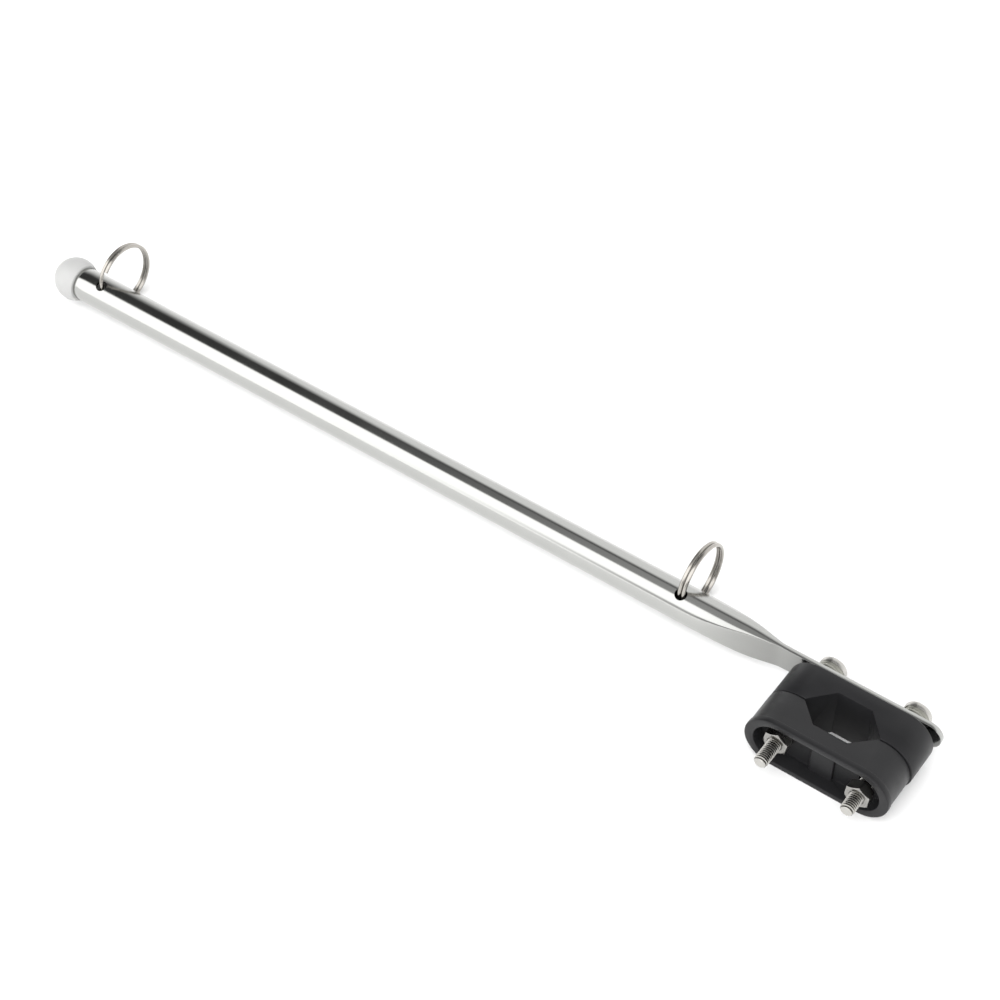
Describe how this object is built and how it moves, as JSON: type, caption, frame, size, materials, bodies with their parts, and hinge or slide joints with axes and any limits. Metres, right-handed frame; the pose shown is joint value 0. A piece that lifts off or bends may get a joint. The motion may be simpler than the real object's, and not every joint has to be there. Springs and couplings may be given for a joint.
{
  "type": "rail-mount flag staff",
  "caption": "Rail-mount flag staff: a polished tube with a ball cap and split rings, swaged to a flat tang that bolts to a two-piece rail clamp.",
  "frame": {"origin": "middle of the rail channel, on the parting plane of the clamp", "axes": "+X from the ball along the staff to the tang, +Y from the nuts to the screw heads, +Z along the rail channel, up from the side the clamp lies on"},
  "size_m": [0.4726, 0.0796, 0.0331],
  "materials": {
    "staff_steel": "polished",
    "ball_plastic": "satin",
    "ring_steel": "satin",
    "clamp_plastic": "matte",
    "fastener_steel": "satin"
  },
  "bodies": {
    "staff": {"staff_tube": "staff_steel", "ball_cap": "ball_plastic", "clamp_fixed_half": "clamp_plastic", "screw_1": "fastener_steel", "screw_2": "fastener_steel", "flat_washer_1": "fastener_steel", "flat_washer_2": "fastener_steel", "lock_washer_1": "fastener_steel", "lock_washer_2": "fastener_steel"},
    "jaw": {"clamp_loose_half": "clamp_plastic"},
    "nut_1_body": {"nut_1": "fastener_steel"},
    "nut_2_body": {"nut_2": "fastener_steel"},
    "upper_ring": {"split_ring_upper": "ring_steel"},
    "lower_ring": {"split_ring_lower": "ring_steel"}
  },
  "joints": [
    {"name": "upper_ring_swing", "type": "hinge", "parent": "staff", "child": "upper_ring", "pos_m": [-0.4095, 0.0224, 0], "axis": [0, -0.2924, 0.9563], "range_deg": [-60, 60]},
    {"name": "lower_ring_swing", "type": "hinge", "parent": "staff", "child": "lower_ring", "pos_m": [-0.087, 0.0224, 0], "axis": [0, -0.2924, 0.9563], "range_deg": [-60, 60]},
    {"name": "jaw_slide", "type": "slide", "parent": "staff", "child": "jaw", "axis": [0, -1, 0], "range_m": [0, 0.007]},
    {"name": "nut_1_turn", "type": "hinge", "parent": "jaw", "child": "nut_1_body", "pos_m": [-0.0192, -0.0146, 0], "axis": [0, -1, 0], "range_deg": [0, 2520]},
    {"name": "nut_2_turn", "type": "hinge", "parent": "jaw", "child": "nut_2_body", "pos_m": [0.0192, -0.0178, 0], "axis": [0, -1, 0], "range_deg": [0, 2520]}
  ],
  "couplings": [
    {"joint": "nut_1_turn", "follows": "jaw_slide", "rad_per_m": 6283.2},
    {"joint": "nut_2_turn", "follows": "jaw_slide", "rad_per_m": 6283.2}
  ]
}
